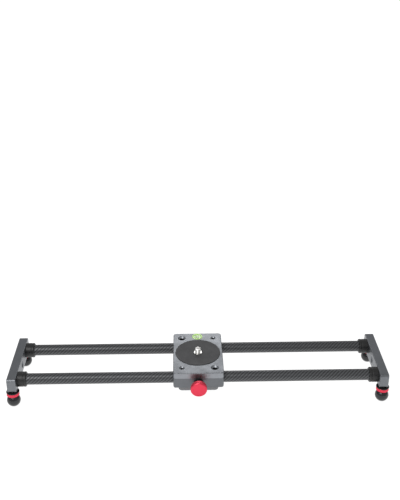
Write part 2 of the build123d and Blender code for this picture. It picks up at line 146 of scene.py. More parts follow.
class SliderStage(bpy.types.PropertyGroup):
    """Camera and light."""

    azimuth: FloatProperty(
        name="Azimuth",
        description="Camera's turn round the slider",
        default=math.radians(-1.32), subtype="ANGLE",
    )
    elevation: FloatProperty(
        name="Elevation",
        description="Camera's height as an angle",
        default=math.radians(26.56), subtype="ANGLE",
    )
    distance: FloatProperty(
        name="Distance", description="From the camera to the aim", default=1.3151, unit="LENGTH"
    )
    aim_right: FloatProperty(
        name="Aim right", description="Aim, to the right of the rail's middle", default=0.0035, unit="LENGTH"
    )
    aim_up: FloatProperty(
        name="Aim up",
        description="Aim, above the rail's middle in the picture",
        default=0.1722, unit="LENGTH",
    )
    lens: FloatProperty(name="Lens", description="Focal length in millimetres", default=58.05)
    daylight: FloatProperty(name="Daylight", description="Strength of the surrounding light", default=0.50)
    key: FloatProperty(name="Key light", description="Power of the front softbox in watts", default=12.0)
    back: FloatProperty(name="Back light", description="Power of the back softbox in watts", default=2.8)


def detail():
    return bpy.context.scene.slider_detail


def colours():
    return bpy.context.scene.slider_colours


# ---- Places read from the frame ----


def middle(node):
    """Centre of a frame node's box."""
    low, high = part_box(node)
    return (low + high) / 2


def span(node):
    """Size of a frame node's box."""
    low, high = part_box(node)
    return high - low


# ---- Surfaces ----


def outline(points, rounding, steps=4):
    """An outline's points in millimetres with rounded corners, in metres.

    Each inner corner C becomes the curve (1-t)^2 A + 2t(1-t) C + t^2 B, where A and B lie on its two
    sides at the rounding distance. A row beside each end of the curve holds the flat sides flat.
    """
    corners = np.array(points, float) * MM
    before = corners[:-2] - corners[1:-1]
    after = corners[2:] - corners[1:-1]
    reach = np.minimum(
        rounding * MM, 0.4 * np.minimum(np.linalg.norm(before, axis=1), np.linalg.norm(after, axis=1))
    )[:, None]
    start = corners[1:-1] + reach * before / np.linalg.norm(before, axis=1)[:, None]
    end = corners[1:-1] + reach * after / np.linalg.norm(after, axis=1)[:, None]
    t = np.linspace(0, 1, steps + 1)[None, :, None]
    curve = (1 - t) ** 2 * start[:, None] + 2 * t * (1 - t) * corners[1:-1, None] + t**2 * end[:, None]
    lead = (start + 0.2 * (start - corners[1:-1]))[:, None]
    tail = (end + 0.2 * (end - corners[1:-1]))[:, None]
    rows = np.concatenate((lead, curve, tail), axis=1).reshape(-1, 2)
    return np.concatenate((corners[:1], rows, corners[-1:]))


def ring_section(bore, radius, height, rounding):
    """The closed outline of a plain ring. Its last side is halved."""
    points = [(bore, 0.0), (radius, 0.0), (radius, height), (bore, height), (bore, height / 2), (bore, 0.0)]
    return outline(points, rounding)[:-1]


def axis_frame(direction):
    """Two directions square to an axis, as arrays."""
    axis = Vector(direction).normalized()
    across = Vector((1, 0, 0)) if abs(axis.x) < 0.5 else Vector((0, 0, 1))
    first = (across - axis * across.dot(axis)).normalized()
    return np.array(first), np.array(axis.cross(first)), np.array(axis)


def grid_mesh(name, points, wrap_rows, uv=None):
    """A mesh from a grid of points that closes along its columns, with its ends capped.

    Corner (i, j) joins (i, j+1), (i+1, j+1) and (i+1, j). A first or last row that isn't wrapped is
    closed by a fan to its mean point. The signed volume, the sum of p0 . (p1 x p2) / 6 over the
    triangles, turns the faces outward when it is negative.
    """
    rows, cols = points.shape[:2]
    index = np.arange(rows * cols).reshape(rows, cols)
    lower = index if wrap_rows else index[:-1]
    upper = np.roll(index, -1, axis=0) if wrap_rows else index[1:]
    corners = (lower, np.roll(lower, -1, axis=1), np.roll(upper, -1, axis=1), upper)
    quads = np.stack(corners, axis=-1).reshape(-1, 4)
    vertices = points.reshape(-1, 3)
    fans = []
    if not wrap_rows:
        vertices = np.concatenate((vertices, points[0].mean(0)[None], points[-1].mean(0)[None]))
        ring, turned = index[0], np.roll(index[0], -1)
        fans.append(np.stack((turned, ring, np.full(cols, rows * cols)), axis=-1))
        ring, turned = index[-1], np.roll(index[-1], -1)
        fans.append(np.stack((ring, turned, np.full(cols, rows * cols + 1)), axis=-1))
    triangles = np.concatenate((quads[:, [0, 1, 2]], quads[:, [0, 2, 3]], *fans))
    p0, p1, p2 = (vertices[triangles[:, k]] for k in range(3))
    inside_out = np.einsum("ij,ij->i", p0, np.cross(p1, p2)).sum() < 0
    loops = [quads.reshape(-1)] + [fan.reshape(-1) for fan in fans]
    sizes = np.concatenate([np.full(len(quads), 4)] + [np.full(len(fan), 3) for fan in fans])
    mesh = bpy.data.meshes.new(name)
    mesh.vertices.add(len(vertices))
    mesh.vertices.foreach_set("co", vertices.astype(np.float32).reshape(-1))
    flat = np.concatenate(loops)
    mesh.loops.add(len(flat))
    mesh.loops.foreach_set("vertex_index", flat.astype(np.int32))
    mesh.polygons.add(len(sizes))
    mesh.polygons.foreach_set("loop_start", np.concatenate(([0], np.cumsum(sizes)[:-1])).astype(np.int32))
    if uv is not None:
        layer = mesh.uv_layers.new(name="Surface")
        layer.data.foreach_set("uv", quad_uv(uv, wrap_rows, len(flat)))
    mesh.update(calc_edges=True)
    mesh.validate()
    if inside_out:
        mesh.flip_normals()
    mesh.shade_smooth()
    mesh.set_sharp_from_angle(angle=math.radians(38))
    return mesh


def quad_uv(uv, wrap_rows, loops):
    """UV of each face corner: uv has one column more than the grid, so the seam has both its values."""
    lower = uv if wrap_rows else uv[:-1]
    upper = np.roll(uv, -1, axis=0) if wrap_rows else uv[1:]
    corners = np.stack((lower[:, :-1], lower[:, 1:], upper[:, 1:], upper[:, :-1]), axis=2).reshape(-1)
    filled = np.zeros(loops * 2, np.float32)
    filled[: len(corners)] = corners
    return filled


def in_scene(name, data):
    """A new object with its data, linked to the scene."""
    made = bpy.data.objects.new(name, data)
    bpy.context.scene.collection.objects.link(made)
    return made


def turned(name, centre, direction, profile, segments=96, ripple=None, closed=False, uv_scale=None):
    """A turned piece: the profile's (radius, height) carried round an axis.

    The point at angle a and height h is centre + h * axis + (r + ripple(a, row)) * (cos a, sin a).
    """
    first, second, axis = axis_frame(direction)
    angle = np.linspace(0, TURN, segments, endpoint=False)
    radius = np.repeat(profile[:, :1], segments, axis=1)
    height = np.repeat(profile[:, 1:], segments, axis=1)
    if ripple is not None:
        radius = radius + ripple(angle[None, :], height)
    around = np.cos(angle)[:, None] * first + np.sin(angle)[:, None] * second
    points = np.array(centre) + radius[..., None] * around + height[..., None] * axis
    uv = None
    if uv_scale is not None:
        along = np.concatenate(([0], np.cumsum(np.linalg.norm(np.diff(profile, axis=0), axis=1))))
        turns = np.linspace(0, 1, segments + 1)
        uv = np.stack(np.meshgrid(turns * uv_scale[0], along * uv_scale[1]), axis=-1)
    return in_scene(name, grid_mesh(name, points, closed, uv))


def screw_profile(low, high, rows_per_turn, pitch):
    """Evenly spaced heights from low to high, so many to each turn of a thread."""
    return np.linspace(low, high, max(3, int(round((high - low) / pitch * rows_per_turn)) + 1))


def thread(name, centre, direction, crest, depth, pitch, low, high, segments=64, lead=0.0):
    """A screw's thread: radius = crest - depth * |2 * frac(h / pitch - a / 2 pi) - 1|.

    The last stretch at each end narrows by the lead, as a chamfer does.
    """
    heights = screw_profile(low, high, 8, pitch)

    def ripple(angle, height):
        wave = np.abs(2 * np.mod(height / pitch - angle / TURN, 1) - 1)
        from_end = np.minimum(height - low, high - height)
        chamfer = np.clip(lead - from_end, 0, None) if lead else 0.0
        return -np.maximum(depth * wave, chamfer)

    profile = np.stack((np.full(len(heights), crest), heights), axis=-1)
    return turned(name, centre, direction, profile, segments, ripple)


def thread_liner(name, centre, direction, wall, depth, pitch, low, high, segments=64):
    """The ridges of a tapped hole: a thin sleeve whose inner side has a thread's wave."""
    heights = screw_profile(low, high, 8, pitch)
    inner = np.stack((np.full(len(heights), wall), heights), axis=-1)
    outer = np.stack((np.full(2, wall + depth), np.array((high, low))), axis=-1)

    def ripple(angle, height):
        wave = np.abs(2 * np.mod(height / pitch + angle / TURN, 1) - 1)
        is_inner = np.arange(height.shape[0])[:, None] < len(heights)
        return np.where(is_inner, -depth * wave, 0.0)

    profile = np.concatenate((inner, outer))
    return turned(name, centre, direction, profile, segments, ripple, closed=True)


def flutes(count, depth, low, high):
    """Straight knurling between two heights: depth * (|cos(count * a / 2)|^0.6 - 1)."""

    def ripple(angle, height):
        wave = np.abs(np.cos(count * angle / 2)) ** 0.6 - 1
        return np.where((height > low) & (height < high), depth * wave, 0.0)

    return ripple


def place(piece, body, material, slot, *nodes):
    """Give a piece its finish and its body, and hide the frame nodes that it stands for. The slot is not
    used.
    """
    piece.data.materials.clear()
    piece.data.materials.append(material)
    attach(piece, body)
    if nodes:
        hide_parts(*nodes)
    return piece


def coat_node(node, material):
    """Give a frame node its finish."""
    data = frame["nodes"][node].data
    data.materials.clear()
    data.materials.append(material)


# ---- Shader helpers ----


def feed(tree, target, value):
    """Link an input to a socket, or set it to any other value."""
    if isinstance(value, bpy.types.NodeSocket):
        tree.links.new(value, target)
    else:
        target.default_value = value


def add(tree, kind, settings=None, **inputs):
    """Add a shader node and feed its inputs, each named with _ for a space."""
    made = tree.nodes.new("ShaderNode" + kind)
    for key, value in (settings or {}).items():
        setattr(made, key, value)
    for key, value in inputs.items():
        feed(tree, made.inputs[key.replace("_", " ")], value)
    return made


def maths(tree, operation, *values, clamp=False):
    """Add a Math node and return its result."""
    made = tree.nodes.new("ShaderNodeMath")
    made.operation = operation
    made.use_clamp = clamp
    for target, value in zip(made.inputs, values):
        feed(tree, target, value)
    return made.outputs[0]


def mixed(tree, factor, first, second):
    """Mix two colours, each a socket or a plain colour."""
    made = tree.nodes.new("ShaderNodeMix")
    made.data_type = "RGBA"
    feed(tree, made.inputs[0], factor)
    for target, value in ((made.inputs[6], first), (made.inputs[7], second)):
        feed(tree, target, value if isinstance(value, bpy.types.NodeSocket) else (*value, 1.0))
    return made.outputs[2]


def spread(tree, mask, low, high):
    """Carry a mask from 0..1 to low..high."""
    return add(tree, "MapRange", Value=mask, To_Min=low, To_Max=high).outputs[0]


def from_axis(tree, place_on):
    """Distance of a place from its Z axis."""
    parts = add(tree, "SeparateXYZ", Vector=place_on)
    squares = [maths(tree, "MULTIPLY", parts.outputs[k], parts.outputs[k]) for k in (0, 1)]
    return maths(tree, "SQRT", maths(tree, "ADD", *squares))


def start_group(name, inputs, outputs):
    """A new shader node group with named sockets, and its two end nodes."""
    group = bpy.data.node_groups.new(name, "ShaderNodeTree")
    for label, kind, value in inputs:
        socket = group.interface.new_socket(name=label, in_out="INPUT", socket_type="NodeSocket" + kind)
        if value is not None:
            socket.default_value = value
    for label, kind in outputs:
        group.interface.new_socket(name=label, in_out="OUTPUT", socket_type="NodeSocket" + kind)
    return group, group.nodes.new("NodeGroupInput"), group.nodes.new("NodeGroupOutput")


def use_group(tree, maker, **inputs):
    """Place a shared group in a material, making it the first time."""
    made = tree.nodes.new("ShaderNodeGroup")
    made.node_tree = bpy.data.node_groups.get(maker.__name__) or maker()
    for key, value in inputs.items():
        feed(tree, made.inputs[key.replace("_", " ")], value)
    return made


# ---- Shared effects ----


def surface_grain():
    """Fine grain, as bead blasting or a moulded texture leaves it, with slow mottling."""
    group, source, result = start_group(
        "surface_grain",
        [("Place", "Vector", None), ("Size", "Float", 0.0004), ("Stretch", "Vector", (1.0, 1.0, 1.0))],
        [("Height", "Float"), ("Mottle", "Float")],
    )
    stretched = add(group, "VectorMath", {"operation": "MULTIPLY"})
    group.links.new(source.outputs["Place"], stretched.inputs[0])
    group.links.new(source.outputs["Stretch"], stretched.inputs[1])
    density = maths(group, "DIVIDE", 1.0, source.outputs["Size"])
    fine = add(group, "TexNoise", Vector=stretched.outputs[0], Scale=density, Detail=2.0, Roughness=0.6)
    slow = add(group, "TexNoise", Vector=stretched.outputs[0], Scale=55.0, Detail=3.0, Roughness=0.55)
    group.links.new(fine.outputs[0], result.inputs["Height"])
    even = add(group, "MapRange", Value=slow.outputs[0], From_Min=0.3, From_Max=0.7)
    group.links.new(even.outputs[0], result.inputs["Mottle"])
    return group


def edge_wear():
    """Rounds sharp edges by a small radius and marks them bright, partly where handling has worn them and
    partly as a painted highlight.
    """
    group, source, result = start_group(
        "edge_wear",
        [("Place", "Vector", None), ("Radius", "Float", 0.0004), ("Amount", "Float", 0.5)],
        [("Worn", "Float"), ("Normal", "Vector")],
    )
    rounded = add(group, "Bevel", {"samples": 6}, Radius=source.outputs["Radius"])
    true_normal = add(group, "NewGeometry").outputs["Normal"]
    facing = add(group, "VectorMath", {"operation": "DOT_PRODUCT"})
    group.links.new(rounded.outputs[0], facing.inputs[0])
    group.links.new(true_normal, facing.inputs[1])
    bend = maths(group, "SUBTRACT", 1.0, facing.outputs["Value"])
    patches = add(group, "TexNoise", Vector=source.outputs["Place"], Scale=420.0, Detail=4.0, Roughness=0.7)
    broken = maths(group, "MULTIPLY", bend, spread(group, patches.outputs[0], 0.0, 12.0))
    worn_and_highlit = maths(group, "MULTIPLY", broken, source.outputs["Amount"], clamp=True)
    group.links.new(worn_and_highlit, result.inputs["Worn"])
    group.links.new(rounded.outputs[0], result.inputs["Normal"])
    return group


def handling_marks():
    """Faint fingerprints and dust: soft blotches with finer specks in them."""
    group, source, result = start_group(
        "handling_marks", [("Place", "Vector", None)], [("Smudge", "Float"), ("Dust", "Float")]
    )
    blotch = add(group, "TexNoise", Vector=source.outputs["Place"], Scale=38.0, Detail=5.0, Roughness=0.65)
    smudge = add(group, "MapRange", Value=blotch.outputs[0], From_Min=0.35, From_Max=0.68)
    specks = add(group, "TexNoise", Vector=source.outputs["Place"], Scale=900.0, Detail=2.0)
    dust = add(group, "MapRange", Value=specks.outputs[0], From_Min=0.62, From_Max=0.78)
    group.links.new(smudge.outputs[0], result.inputs["Smudge"])
    group.links.new(dust.outputs[0], result.inputs["Dust"])
    return group


def twill_weave():
    """Two-by-two twill: a warp tow is on top where (column + row) mod 4 < 2.

    A tow's height is a parabola across it, times a sine along the two cells that it floats over.
    """
    group, source, result = start_group(
        "twill_weave", [("Tows", "Vector", None)], [("Warp", "Float"), ("Height", "Float"), ("Gap", "Float")]
    )
    parts = add(group, "SeparateXYZ", Vector=source.outputs["Tows"])
    across, along = parts.outputs[0], parts.outputs[1]
    column, row = maths(group, "FLOOR", across), maths(group, "FLOOR", along)
    step = maths(group, "FLOORED_MODULO", maths(group, "ADD", column, row), 4.0)
    warp = maths(group, "LESS_THAN", step, 1.5)

    def crown(value):
        centred = maths(group, "SUBTRACT", maths(group, "MULTIPLY", maths(group, "FRACT", value), 2.0), 1.0)
        return maths(group, "SUBTRACT", 1.0, maths(group, "MULTIPLY", centred, centred))

    def floated(run, other, offset):
        shifted = maths(group, "ADD", maths(group, "ADD", run, other), offset)
        share = maths(group, "DIVIDE", maths(group, "FLOORED_MODULO", shifted, 4.0), 2.0)
        return maths(group, "ABSOLUTE", maths(group, "SINE", maths(group, "MULTIPLY", share, math.pi)))

    warp_float = spread(group, floated(along, column, 0.0), 0.55, 1.0)
    weft_float = spread(group, floated(across, row, 2.0), 0.55, 1.0)
    warp_height = maths(group, "MULTIPLY", crown(across), warp_float)
    weft_height = maths(group, "MULTIPLY", crown(along), weft_float)
    height = add(group, "Mix", {"data_type": "FLOAT"})
    group.links.new(warp, height.inputs[0])
    group.links.new(weft_height, height.inputs[2])
    group.links.new(warp_height, height.inputs[3])
    gap = add(group, "MapRange", Value=height.outputs[0], From_Min=0.35, From_Max=0.0)
    group.links.new(warp, result.inputs["Warp"])
    group.links.new(height.outputs[0], result.inputs["Height"])
    group.links.new(gap.outputs[0], result.inputs["Gap"])
    return group


# ---- Finishes ----


def shade(colour, factor):
    """A colour made lighter or darker."""
    return tuple(min(1.0, channel * factor) for channel in colour)


def start_material(name):
    """A material with an empty tree, its Principled shader and its Object coordinates."""
    material = bpy.data.materials.new(FINISH_PREFIX + name)
    material.use_nodes = True
    tree = material.node_tree
    tree.nodes.clear()
    shader = add(tree, "BsdfPrincipled")
    output = add(tree, "OutputMaterial")
    tree.links.new(shader.outputs[0], output.inputs[0])
    place_on = add(tree, "TexCoord").outputs["Object"]
    return material, tree, shader, place_on


def solid_finish(name, colour, roughness, grain, wear_highlight_colour, wear_and_highlight, edge=0.35, metallic=0.0):
    """The finish most pieces share: a grained surface with mottling, smudges, and edges painted brighter
    partly for wear and partly as a painted highlight.

    A colour given by name is one of the panel's. grain is (size, depth) in millimetres, edge the radius in
    millimetres that sharp edges get, and a single wear and highlight colour is a factor on the colour.
    """
    material, tree, shader, place_on = start_material(name)
    if isinstance(colour, str):
        colour = getattr(colours(), colour)
    if isinstance(wear_highlight_colour, float):
        wear_highlight_colour = shade(colour, wear_highlight_colour)
    texture = use_group(tree, surface_grain, Place=place_on, Size=grain[0] * MM)
    marks = use_group(tree, handling_marks, Place=place_on)
    edges = use_group(tree, edge_wear, Place=place_on, Radius=edge * MM, Amount=wear_and_highlight)
    base = mixed(tree, texture.outputs["Mottle"], shade(colour, 0.94), shade(colour, 1.05))
    dusty = mixed(tree, maths(tree, "MULTIPLY", marks.outputs["Dust"], 0.10), base, shade(wear_highlight_colour, 0.8))
    # Painted highlight and wear: edges are mixed towards a lighter colour.
    worn_and_highlit = mixed(tree, edges.outputs["Worn"], dusty, wear_highlight_colour)
    tree.links.new(worn_and_highlit, shader.inputs["Base Color"])
    gloss = spread(tree, marks.outputs["Smudge"], roughness * 0.88, min(1.0, roughness * 1.16))
    tree.links.new(gloss, shader.inputs["Roughness"])
    bump = add(
        tree, "Bump", Height=texture.outputs["Height"], Distance=grain[1] * MM, Normal=edges.outputs["Normal"]
    )
    tree.links.new(bump.outputs[0], shader.inputs["Normal"])
    shader.inputs["Metallic"].default_value = metallic
    return material


# Plain finishes: colour, roughness, grain, wear and highlight colour of the edges, wear and highlight amount,
# edge and metallic
SATIN_GREY = ("grey", 0.40, (0.30, 0.016), 1.7, 0.45, 0.4, 1.0)
PLAIN_FINISHES = {
    "anodised_grey": SATIN_GREY,
    "anodised_red": ("red", 0.34, (0.22, 0.008), (0.95, 0.22, 0.26), 0.25, 0.2, 0.55),
    "black_nylon": ("black", 0.42, (0.5, 0.02), (0.12, 0.12, 0.12), 0.3),
    "glossy_rubber": ((0.014, 0.015, 0.017), 0.16, (0.9, 0.01), (0.07, 0.07, 0.07), 0.2),
    "matt_rubber": ("rubber", 0.62, (0.28, 0.03), (0.16, 0.16, 0.16), 0.35),
    "moulded_grey": ((0.19, 0.195, 0.205), 0.48, (0.45, 0.03), (0.32, 0.33, 0.34), 0.3),
    "nickel_steel": ((0.83, 0.82, 0.80), 0.20, (0.25, 0.004), (0.95, 0.94, 0.92), 0.3, 0.12, 1.0),
    "bearing_steel": ((0.66, 0.67, 0.69), 0.16, (0.2, 0.003), (0.85, 0.85, 0.86), 0.2, 0.1, 1.0),
    "black_oxide": ((0.035, 0.036, 0.038), 0.33, (0.2, 0.006), (0.30, 0.30, 0.31), 0.6, 0.15, 0.8),
    "turned_aluminium": ((0.72, 0.73, 0.74), 0.30, (0.2, 0.006), (0.9, 0.9, 0.9), 0.3, 0.15, 1.0),
    "roller_nylon": ((0.045, 0.045, 0.048), 0.38, (0.35, 0.012), (0.14, 0.14, 0.14), 0.3),
    "lining_nylon": ((0.60, 0.58, 0.52), 0.5, (0.4, 0.02), (0.75, 0.73, 0.68), 0.3),
    "printed_black": ((0.10, 0.16, 0.04), 0.4, (0.15, 0.004), (0.1, 0.1, 0.1), 0.0, 0.05),
}


def carriage_grey():
    """The plates' grey with painted light by height: a painted highlight on the slab's band, painted shade on
    the skirt and a lighter painted top.
    """
    material = solid_finish("carriage_grey", *SATIN_GREY)
    tree = material.node_tree
    shader = tree.nodes["Principled BSDF"]
    plain = shader.inputs["Base Color"].links[0].from_socket
    place_on = add(tree, "TexCoord").outputs["Object"]
    height = add(tree, "SeparateXYZ", Vector=place_on).outputs[2]
    # Painted light: factors on the base colour brighten the band and the top as painted highlights and darken
    # the skirt as painted shade.
    skirt_painted_shade, band_painted_highlight, top_painted_highlight = 0.82, 1.5, 1.15
    band_height, edge, blend = 10 * MM, 1 * MM, 0.2 * MM
    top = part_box("carriage_body")[1].z
    low = top - band_height
    on_band = add(tree, "MapRange", Value=height, From_Min=low, From_Max=low + blend)
    on_top = add(tree, "MapRange", Value=height, From_Min=top - edge, From_Max=top - edge + blend)
    band_and_skirt_painted_light = mixed(tree, on_band.outputs[0], (skirt_painted_shade,) * 3, (band_painted_highlight,) * 3)
    tone = mixed(tree, on_top.outputs[0], band_and_skirt_painted_light, (top_painted_highlight,) * 3)
    with_painted_light = add(tree, "VectorMath", {"operation": "MULTIPLY"})
    tree.links.new(plain, with_painted_light.inputs[0])
    tree.links.new(tone, with_painted_light.inputs[1])
    tree.links.new(with_painted_light.outputs[0], shader.inputs["Base Color"])
    return material


def carbon_fibre():
    """Twill weave under clear resin, with the warp tows painted lighter and the weft darker as a painted
    sheen. The tow pattern follows the tube's own UV map.
    """
    material, tree, shader, place_on = start_material("carbon_fibre")
    tows = add(tree, "UVMap", {"uv_map": "Surface"}).outputs[0]
    weave = use_group(tree, twill_weave, Tows=tows)
    marks = use_group(tree, handling_marks, Place=place_on)
    fibres = use_group(tree, surface_grain, Place=place_on, Size=0.12 * MM, Stretch=(0.12, 1.0, 1.0))
    carbon = colours().carbon
    # Painted sheen: warp tows are painted lighter and weft tows darker, standing in for the fibres'
    # directional reflection.
    with_painted_light = mixed(tree, weave.outputs["Warp"], shade(carbon, 0.35), shade(carbon, 2.0))
    threads = mixed(tree, maths(tree, "MULTIPLY", fibres.outputs["Height"], 0.3), with_painted_light, shade(carbon, 1.1))
    deep = mixed(tree, weave.outputs["Gap"], threads, shade(carbon, 0.12))
    dusty = mixed(tree, maths(tree, "MULTIPLY", marks.outputs["Dust"], 0.12), deep, (0.25, 0.25, 0.26))
    tree.links.new(dusty, shader.inputs["Base Color"])
    tree.links.new(spread(tree, weave.outputs["Warp"], 0.52, 0.34), shader.inputs["Roughness"])
    bump = add(tree, "Bump", Height=weave.outputs["Height"], Distance=0.05 * MM, Strength=0.8)
    tree.links.new(bump.outputs[0], shader.inputs["Normal"])
    shader.inputs["Metallic"].default_value = 0.35
    shader.inputs["Coat Weight"].default_value = 0.25
    shader.inputs["Coat Roughness"].default_value = 0.38
    return material


def clear_acrylic():
    """Clear acrylic of the level's lens and bubble."""
    material, tree, shader, place_on = start_material("clear_acrylic")
    marks = use_group(tree, handling_marks, Place=place_on)
    tint = mixed(tree, marks.outputs["Smudge"], (0.93, 0.99, 0.90), (0.90, 0.97, 0.86))
    tree.links.new(tint, shader.inputs["Base Color"])
    tree.links.new(spread(tree, marks.outputs["Smudge"], 0.22, 0.30), shader.inputs["Roughness"])
    shader.inputs["Transmission Weight"].default_value = 1.0
    shader.inputs["IOR"].default_value = 1.45
    return material


def level_fluid():
    """Pale green fluid, brighter towards its middle, glowing faintly with painted light."""
    material, tree, shader, place_on = start_material("level_fluid")
    centre = middle("level_liquid")
    centred = add(tree, "Mapping", Vector=place_on, Location=(-centre.x, -centre.y, 0.0))
    radius = from_axis(tree, centred.outputs[0])
    rim = span("level_liquid").x / 2
    outward = add(tree, "MapRange", Value=radius, From_Min=rim * 0.35, From_Max=rim)
    fluid = colours().fluid
    tone = mixed(tree, outward.outputs[0], (0.80, 0.93, 0.58), fluid)
    swirl = use_group(tree, surface_grain, Place=place_on, Size=2.5 * MM)
    varied = mixed(tree, maths(tree, "MULTIPLY", swirl.outputs["Mottle"], 0.2), tone, shade(fluid, 1.1))
    tree.links.new(varied, shader.inputs["Base Color"])
    # Painted glow: the fluid's colour is also emitted, though it is no lamp.
    tree.links.new(varied, shader.inputs["Emission Color"])
    tree.links.new(spread(tree, swirl.outputs["Mottle"], 0.10, 0.2), shader.inputs["Roughness"])
    shader.inputs["Emission Strength"].default_value = 0.18
    shader.inputs["Subsurface Weight"].default_value = 0.3
    shader.inputs["Subsurface Radius"].default_value = (0.002, 0.003, 0.001)
    return material


def finish(name):
    """A finish by its name, made the first time that it is asked for."""
    made = bpy.data.materials.get(FINISH_PREFIX + name)
    if made:
        return made
    if name in PLAIN_FINISHES:
        return solid_finish(name, *PLAIN_FINISHES[name])
    makers = (carriage_grey, carbon_fibre, clear_acrylic, level_fluid, paper_floor)
    return next(maker for maker in makers if maker.__name__ == name)()


# ---- Pieces ----


def build_tube(node, body):
    """A carbon tube with rounded ends: its UV counts tows round and along the surface."""
    low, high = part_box(node)
    radius = (high.z - low.z) / 2 / MM
    half = (high.x - low.x) / 2 / MM
    profile = outline([(0.0, -half), (radius, -half), (radius, half), (0.0, half)], 0.3)
    tow = TURN * radius * MM / detail().tows_round
    piece = turned(
        node + "_wrap", middle(node), ALONG, profile, 96, uv_scale=(detail().tows_round, 1 / tow)
    )
    return place(piece, body, finish("carbon_fibre"), "carbon_fibre", node)


def build_collar(node, body):
    """A bumper collar with a soft lip towards the carriage and a shallow groove round it."""
    low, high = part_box(node)
    centre = middle(node)
    outward = 1 if centre.x > 0 else -1
    radius = (high.z - low.z) / 2 / MM
    length = (high.x - low.x) / MM
    bore = span("carbon_tube_front").z / 2 / MM + 0.02
    start = Vector((high.x if outward > 0 else low.x, centre.y, centre.z))
    lip, groove = 1.1, 0.35
    points = [
        (bore, 0.0),
        (radius, 0.0),
        (radius, length * 0.62),
        (radius - groove, length * 0.65),
        (radius - groove, length * 0.72),
        (radius, length * 0.75),
        (radius, length - lip),
        (radius - lip, length),
        (bore, length),
    ]
    profile = outline([*points, (bore, length / 2), (bore, 0.0)], 0.3)
    piece = turned(node + "_shell", start, ALONG * -outward, profile[:-1], 72, closed=True)
    return place(piece, body, finish("black_nylon"), "black_nylon", node)


def build_ball(corner):
    """A ball foot: an arc of a circle cut flat above and below, with a fine mould seam at its middle."""
    node = "foot_ball_" + corner
    low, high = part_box(node)
    centre = middle(node)
    radius = (high.x - low.x) / 2 / MM
    top = (high.z - low.z) / MM
    foot_flat, skin, seam_height, seam_width = 0.4, 0.1, 0.10, 0.035
    flat_height = radius - foot_flat
    lowest, highest = -math.asin(flat_height / radius), math.asin((top - flat_height) / radius)
    angle = np.linspace(lowest, highest, 49)
    reach = radius - skin + seam_height * np.exp(-((angle / seam_width) ** 2))
    arc = np.stack((reach * np.cos(angle), radius * np.sin(angle) + flat_height), axis=-1)
    profile = np.concatenate(([[0.0, 0.0]], arc, [[0.0, arc[-1, 1]]])) * MM
    piece = turned(node + "_rubber", (centre.x, centre.y, low.z), UP, profile, 72)
    return place(piece, f"foot_{corner}_ball", finish("glossy_rubber"), "black_rubber", node)


def build_foot_stud(corner):
    """A foot's threaded stud."""
    node = "foot_stud_" + corner
    low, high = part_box(node)
    centre = middle(node)
    piece = thread(
        node + "_thread",
        (centre.x, centre.y, low.z),
        UP,
        (high.x - low.x) / 2,
        0.55 * MM,
        detail().foot_pitch,
        0.0,
        high.z - low.z,
        36,
        lead=0.6 * MM,
    )
    return place(piece, f"foot_{corner}_stud", finish("nickel_steel"), "bright_steel", node)


def build_lock_ring(corner):
    """A lock ring: a knurled band between two chamfers, bored for the stud."""
    node = "lock_ring_" + corner
    low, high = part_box(node)
    centre = middle(node)
    radius = (high.x - low.x) / 2 / MM
    height = (high.z - low.z) / MM
    bore, edge = span("foot_stud_" + corner).x / 2 / MM + CLEARANCE, 0.5
    points = [
        (bore, 0.0),
        (radius - 1.3, 0.0),
        (radius - 1.1, 0.25),
        (radius, edge + 0.2),
        (radius, height - edge),
        (radius - edge, height),
        (bore, height),
        (bore, height / 2),
        (bore, 0.0),
    ]
    ripple = flutes(detail().ring_flutes, detail().knurl_depth, 0.9 * MM, (height - 0.6) * MM)
    profile = outline(points, 0.2)[:-1]
    piece = turned(node + "_knurled", (centre.x, centre.y, low.z), UP, profile, 320, ripple, closed=True)
    return place(piece, f"foot_{corner}_ring", finish("anodised_red"), "anodised_red", node)


def build_washers():
    """The feet's rubber washers, each a ring with softly rounded rims."""
    low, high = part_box("foot_washers")
    height = (high.z - low.z) / MM
    radius = ((high.x - low.x) / 2 - middle("foot_stud_rear_right").x) / MM
    bore = span("foot_stud_rear_right").x / 2 / MM + CLEARANCE
    profile = ring_section(bore, radius, height, 0.7)
    pieces = []
    for corner in CORNERS:
        centre = middle("foot_stud_" + corner)
        piece = turned("foot_washer_" + corner, (centre.x, centre.y, low.z), UP, profile, 64, closed=True)
        pieces.append(place(piece, "rail_frame", finish("black_nylon"), "black_rubber"))
    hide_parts("foot_washers")
    return pieces


def build_knob():
    """The lock knob: a hub, a fluted rim, a turned bevel and a face dished inside a narrow land."""
    low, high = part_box("lock_knob")
    centre = middle("lock_knob")
    radius = (high.x - low.x) / 2 / MM
    length = (high.y - low.y) / MM
    bevel, land, dish = 1.3, 1.5, 0.35
    hub_radius, hub_length = 6.5, 2.0
    points = [
        (0.0, 0.0),
        (hub_radius, 0.0),
        (hub_radius, hub_length),
        (radius - 1.0, hub_length),
        (radius, hub_length + 1.0),
        (radius, length - bevel),
        (radius - bevel, length),
        (radius - bevel - land, length),
        (radius - bevel - land - 0.5, length - dish),
        (0.0, length - dish),
    ]
    rim = (hub_length + 1.4) * MM, (length - bevel - 0.3) * MM
    ripple = flutes(detail().knob_flutes, detail().knurl_depth, *rim)
    start = (centre.x, high.y, centre.z)
    piece = turned("lock_knob_turned", start, FORWARD, outline(points, 0.3), detail().knob_flutes * 8, ripple)
    return place(piece, "knob", finish("anodised_red"), "anodised_red", "lock_knob")


